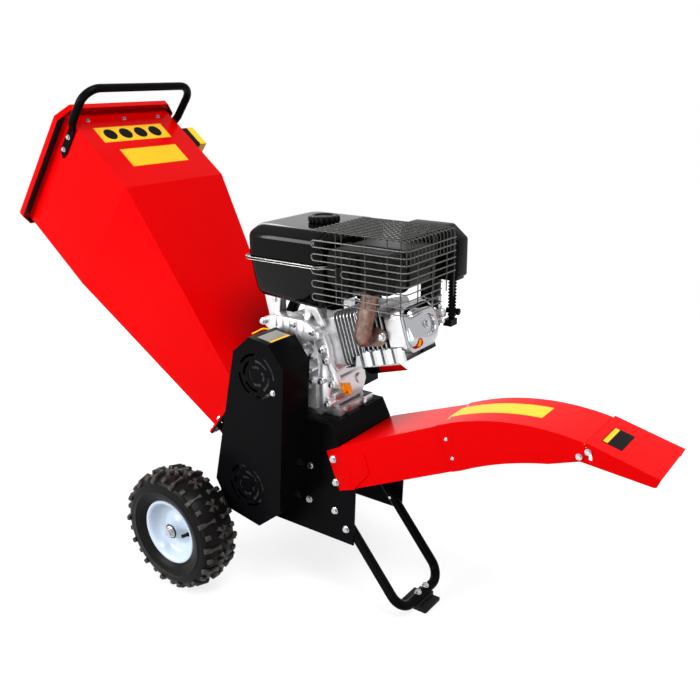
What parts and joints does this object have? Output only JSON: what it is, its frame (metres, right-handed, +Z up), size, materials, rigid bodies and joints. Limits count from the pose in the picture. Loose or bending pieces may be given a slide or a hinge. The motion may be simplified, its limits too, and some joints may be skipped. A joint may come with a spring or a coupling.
{
  "type": "petrol garden shredder",
  "caption": "Wheeled petrol garden shredder: tall sloping feed hopper, belt-driven chipping rotor, single-cylinder engine with wire-guarded muffler, and a curved chute with a tilting deflector.",
  "frame": {"origin": "on the ground under the middle of the whole machine", "axes": "+X towards the chute, +Y towards the starter side, +Z up"},
  "size_m": [1.8465, 0.66, 1.2836],
  "materials": {
    "red_paint": "gloss",
    "black_paint": "gloss",
    "zinc": "bright zinc",
    "machined_steel": "ground",
    "dark_iron": "bare",
    "engine_aluminium": "cast",
    "chrome_sheet": "polished",
    "hot_steel": "heat stained",
    "muffler_black": "heat paint",
    "tyre_rubber": "matt",
    "rim_white": "gloss",
    "rubber": "matt",
    "black_plastic": "satin",
    "yellow_plastic": "gloss",
    "red_plastic": "gloss",
    "orange_plastic": "satin",
    "grey_metal": "plated"
  },
  "bodies": {
    "machine": {"side_plate_right": "black_paint", "side_plate_left": "black_paint", "rotor_casing": "black_paint", "engine_platform": "black_paint", "anvil_knife": "machined_steel", "rotor_bearings": "dark_iron", "axle": "black_paint", "axle_nuts": "zinc", "belt_cover": "black_paint", "drive_belts": "rubber", "chassis_bolts": "zinc", "leg_tube": "black_paint", "foot_pad": "rubber", "hopper": "red_paint", "hopper_mouth": "red_paint", "hopper_handle": "black_paint", "hopper_bolts": "zinc", "curtain_strip": "black_paint", "stop_switch_base": "black_plastic", "stop_switch_cover": "yellow_plastic", "chute_base": "red_paint", "chute_hood": "red_paint", "chute_rivets": "zinc", "deflector_bolts": "zinc", "crankcase": "engine_aluminium", "side_cover": "engine_aluminium", "engine_bolts": "zinc", "cylinder_barrel": "engine_aluminium", "cylinder_head": "engine_aluminium", "rocker_cover": "chrome_sheet", "cylinder_shroud": "chrome_sheet", "exhaust_elbow": "hot_steel", "muffler": "muffler_black", "muffler_guard": "black_paint", "fuel_tank": "black_paint", "air_cleaner_base": "black_plastic", "air_cleaner_cover": "black_plastic", "carburettor": "engine_aluminium", "recoil_housing": "black_plastic"},
    "wheel_right": {"tyre_right": "tyre_rubber", "rim_right": "rim_white"},
    "wheel_left": {"tyre_left": "tyre_rubber", "rim_left": "rim_white"},
    "rotor": {"rotor_shaft": "machined_steel", "rotor_drum": "dark_iron", "rotor_knives": "machined_steel", "driven_pulley": "dark_iron"},
    "crank": {"crankshaft": "machined_steel", "drive_pulley": "dark_iron", "flywheel": "dark_iron"},
    "deflector_flap": {"deflector": "red_paint"},
    "curtain": {"feed_curtain": "rubber"},
    "stop_plunger": {"stop_button": "red_plastic"},
    "tank_cap": {"fuel_cap": "black_plastic"},
    "oil_plug": {"oil_filler_cap": "orange_plastic"},
    "throttle": {"throttle_lever": "black_plastic"},
    "choke": {"choke_lever": "grey_metal"},
    "fuel_valve": {"fuel_valve_lever": "grey_metal"},
    "ignition_switch": {"engine_switch": "red_plastic"},
    "starter_handle": {"starter_grip": "black_plastic"}
  },
  "joints": [
    {"name": "wheel_right_spin", "type": "hinge", "parent": "machine", "child": "wheel_right", "pos_m": [-0.22918, -0.276, 0.165], "axis": [0, 1, 0], "continuous": true},
    {"name": "wheel_left_spin", "type": "hinge", "parent": "machine", "child": "wheel_left", "pos_m": [-0.22918, 0.276, 0.165], "axis": [0, 1, 0], "continuous": true},
    {"name": "rotor_spin", "type": "hinge", "parent": "machine", "child": "rotor", "pos_m": [-0.04218, 0, 0.313], "axis": [0, -1, 0], "continuous": true},
    {"name": "crank_spin", "type": "hinge", "parent": "machine", "child": "crank", "pos_m": [0.00882, 0, 0.618], "axis": [0, -1, 0], "continuous": true},
    {"name": "deflector_tilt", "type": "hinge", "parent": "machine", "child": "deflector_flap", "pos_m": [0.7615, 0, 0.56576], "axis": [0, -1, 0], "range_deg": [-15, 18]},
    {"name": "curtain_swing", "type": "hinge", "parent": "machine", "child": "curtain", "pos_m": [-0.65551, 0, 1.17801], "axis": [0, -1, 0], "range_deg": [-30, 45]},
    {"name": "stop_press", "type": "slide", "parent": "machine", "child": "stop_plunger", "axis": [0, -1, 0], "range_m": [0, 0.006], "stiffness_N_per_m": 600},
    {"name": "fuel_cap_turn", "type": "hinge", "parent": "machine", "child": "tank_cap", "pos_m": [0.04682, 0.0165, 0.958], "axis": [0, 0, 1], "range_deg": [0, 90]},
    {"name": "oil_cap_turn", "type": "hinge", "parent": "machine", "child": "oil_plug", "pos_m": [0.11082, -0.058, 0.554], "axis": [0.9511, 0, 0.309], "range_deg": [0, 180]},
    {"name": "throttle_turn", "type": "hinge", "parent": "machine", "child": "throttle", "pos_m": [0.27641, 0.086, 0.76206], "axis": [0, 0, 1], "range_deg": [-15, 20]},
    {"name": "choke_turn", "type": "hinge", "parent": "machine", "child": "choke", "pos_m": [0.27641, 0.112, 0.77806], "axis": [0, 0, -1], "range_deg": [0, 40]},
    {"name": "fuel_valve_turn", "type": "hinge", "parent": "machine", "child": "fuel_valve", "pos_m": [0.27641, 0.098, 0.68376], "axis": [0, 0, -1], "range_deg": [0, 60]},
    {"name": "engine_switch_turn", "type": "hinge", "parent": "machine", "child": "ignition_switch", "pos_m": [-0.04338, 0.172, 0.72648], "axis": [0, 0, 1], "range_deg": [0, 90]},
    {"name": "starter_pull", "type": "slide", "parent": "machine", "child": "starter_handle", "axis": [0, 0.8, 0.6], "range_m": [0, 0.25], "stiffness_N_per_m": 20, "springref_m": -0.05}
  ],
  "couplings": [
    {"joint": "crank_spin", "follows": "rotor_spin", "ratio": 1.2083}
  ]
}
